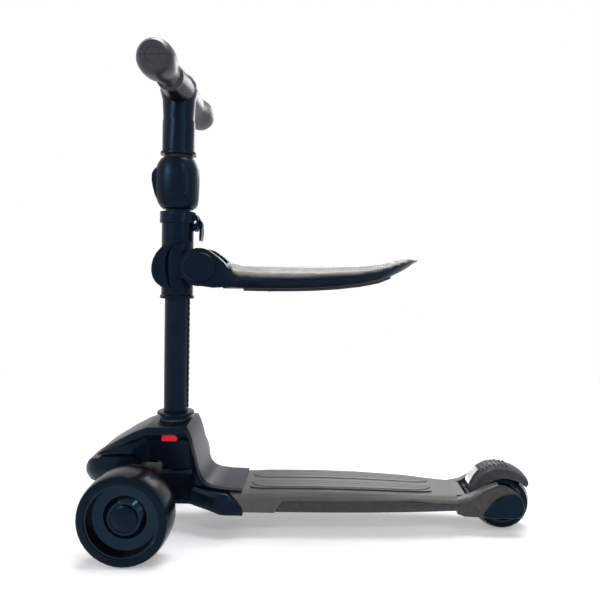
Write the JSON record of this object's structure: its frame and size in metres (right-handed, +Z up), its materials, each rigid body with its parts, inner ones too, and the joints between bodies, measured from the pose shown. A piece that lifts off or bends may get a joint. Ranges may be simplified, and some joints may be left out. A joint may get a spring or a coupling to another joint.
{
  "type": "kids scooter with seat",
  "caption": "Lean-steering kids scooter with paired front wheels, a telescoping T-bar, a padded seat that slides and folds on the stem, and a heel brake over the rear wheel.",
  "frame": {"origin": "on the floor, at the middle of the overall length and width", "axes": "+X to the rear, +Y to the scooter's right, +Z up; the front is -X"},
  "size_m": [0.6364, 0.3, 0.6569],
  "materials": {
    "satin_black": "satin moulded nylon, near black",
    "gloss_black": "gloss moulded wheel core",
    "deck_grey": "fine-grained dark grey moulding",
    "dark_grey": "matt charcoal moulding",
    "grip_grey": "soft grip, dark grey",
    "pad_grey": "soft foam seat pad, grey",
    "tube_black": "satin black powder coat",
    "steel": "plain steel",
    "cast_metal": "cast, unpainted",
    "tyre_black": "glossy solid polyurethane",
    "red": "red moulded button",
    "silver": "bright bare plate",
    "rubber": "matt black rubber"
  },
  "bodies": {
    "chassis": {"deck_shell": "deck_grey", "tread_pad": "rubber", "underside_tray": "dark_grey", "nose_boot": "satin_black", "front_housing": "satin_black", "nose_lip": "satin_black", "stem_socket": "cast_metal", "collar_ring": "satin_black", "pivot_bracket": "cast_metal", "lean_bumper_left": "rubber", "lean_bumper_right": "rubber", "rear_fork": "deck_grey", "axle_cover_left": "satin_black", "axle_cover_right": "satin_black", "rear_axle": "steel", "brake_pin": "steel", "brake_spring": "steel"},
    "release_button": {"release_button": "red"},
    "lean_beam": {"axle_beam": "cast_metal"},
    "tie_rod": {"tie_rod": "steel"},
    "steering_left": {"knuckle_left": "cast_metal", "wheel_bolt_left": "steel"},
    "steering_right": {"knuckle_right": "cast_metal", "wheel_bolt_right": "steel"},
    "wheel_left": {"tyre_left": "tyre_black", "rim_left": "gloss_black", "bearing_left": "steel", "hub_cap_left": "satin_black"},
    "wheel_right": {"tyre_right": "tyre_black", "rim_right": "gloss_black", "bearing_right": "steel", "hub_cap_right": "satin_black"},
    "wheel_rear": {"rear_tyre": "tyre_black", "rear_rim": "gloss_black", "rear_bearing": "steel"},
    "brake": {"brake_fender": "dark_grey", "brake_plate": "silver"},
    "stem": {"lower_tube": "tube_black", "height_rack": "tube_black", "lock_shell_left": "satin_black", "lock_shell_right": "satin_black", "lock_collar": "rubber"},
    "height_button": {"height_button": "satin_black"},
    "t_bar": {"inner_tube": "tube_black", "bar_sleeve": "satin_black", "t_hub": "satin_black", "cross_bar": "steel", "grip_left": "grip_grey", "grip_right": "grip_grey", "end_cap_left": "satin_black", "end_cap_right": "satin_black"},
    "seat_bracket": {"bracket_body": "satin_black", "clamp_band": "satin_black", "hinge_pin": "steel"},
    "clamp_lever": {"clamp_lever": "satin_black"},
    "seat": {"seat_shell": "satin_black", "seat_pad": "pad_grey", "seat_under_cover": "dark_grey"},
    "seat_button_left": {"seat_button_left": "satin_black"},
    "seat_button_right": {"seat_button_right": "satin_black"}
  },
  "joints": [
    {"name": "lean", "type": "hinge", "parent": "chassis", "child": "lean_beam", "pos_m": [-0.2298, 0, 0.06], "axis": [1, 0, 0], "range_deg": [-8, 8], "stiffness_Nm_per_rad": 12},
    {"name": "steer_left", "type": "hinge", "parent": "lean_beam", "child": "steering_left", "pos_m": [-0.2298, -0.084, 0.06], "axis": [0, 0, 1], "range_deg": [-12, 12]},
    {"name": "steer_right", "type": "hinge", "parent": "lean_beam", "child": "steering_right", "pos_m": [-0.2298, 0.084, 0.06], "axis": [0, 0, 1], "range_deg": [-12, 12]},
    {"name": "tie_rod_slide", "type": "slide", "parent": "lean_beam", "child": "tie_rod", "axis": [0, 1, 0], "range_m": [-0.006, 0.006]},
    {"name": "roll_left", "type": "hinge", "parent": "steering_left", "child": "wheel_left", "pos_m": [-0.2298, -0.1245, 0.06], "axis": [0, 1, 0], "continuous": true},
    {"name": "roll_right", "type": "hinge", "parent": "steering_right", "child": "wheel_right", "pos_m": [-0.2298, 0.1245, 0.06], "axis": [0, 1, 0], "continuous": true},
    {"name": "roll_rear", "type": "hinge", "parent": "chassis", "child": "wheel_rear", "pos_m": [0.2782, 0, 0.04], "axis": [0, 1, 0], "continuous": true},
    {"name": "brake_press", "type": "hinge", "parent": "chassis", "child": "brake", "pos_m": [0.2322, 0, 0.05], "axis": [0, 1, 0], "range_deg": [0, 8], "stiffness_Nm_per_rad": 2, "springref_deg": -5.73},
    {"name": "release_press", "type": "slide", "parent": "chassis", "child": "release_button", "axis": [0, 1, 0], "range_m": [0, 0.003], "stiffness_N_per_m": 400, "springref_m": -0.002},
    {"name": "stem_lift", "type": "slide", "parent": "chassis", "child": "stem", "axis": [0.0209, 0, 0.9998], "range_m": [0, 0.08]},
    {"name": "height_press", "type": "slide", "parent": "stem", "child": "height_button", "axis": [0.9998, 0, -0.0209], "range_m": [0, 0.003], "stiffness_N_per_m": 400, "springref_m": -0.002},
    {"name": "t_bar_slide", "type": "slide", "parent": "stem", "child": "t_bar", "axis": [0.0209, 0, 0.9998], "range_m": [0, 0.11]},
    {"name": "bracket_slide", "type": "slide", "parent": "stem", "child": "seat_bracket", "axis": [0.0209, 0, 0.9998], "range_m": [-0.14, 0]},
    {"name": "lever_open", "type": "hinge", "parent": "seat_bracket", "child": "clamp_lever", "pos_m": [-0.16309, 0, 0.44168], "axis": [0, -1, 0], "range_deg": [0, 90]},
    {"name": "seat_fold", "type": "hinge", "parent": "seat_bracket", "child": "seat", "pos_m": [-0.15234, 0, 0.37734], "axis": [0, -1, 0], "range_deg": [0, 65]},
    {"name": "seat_press_left", "type": "slide", "parent": "seat", "child": "seat_button_left", "axis": [0, 1, 0], "range_m": [0, 0.003], "stiffness_N_per_m": 400, "springref_m": -0.002},
    {"name": "seat_press_right", "type": "slide", "parent": "seat", "child": "seat_button_right", "axis": [0, -1, 0], "range_m": [0, 0.003], "stiffness_N_per_m": 400, "springref_m": -0.002}
  ],
  "couplings": [
    {"joint": "steer_left", "follows": "lean", "ratio": -1.3},
    {"joint": "steer_right", "follows": "lean", "ratio": -1.3},
    {"joint": "tie_rod_slide", "follows": "lean", "m_per_rad": 0.039}
  ]
}
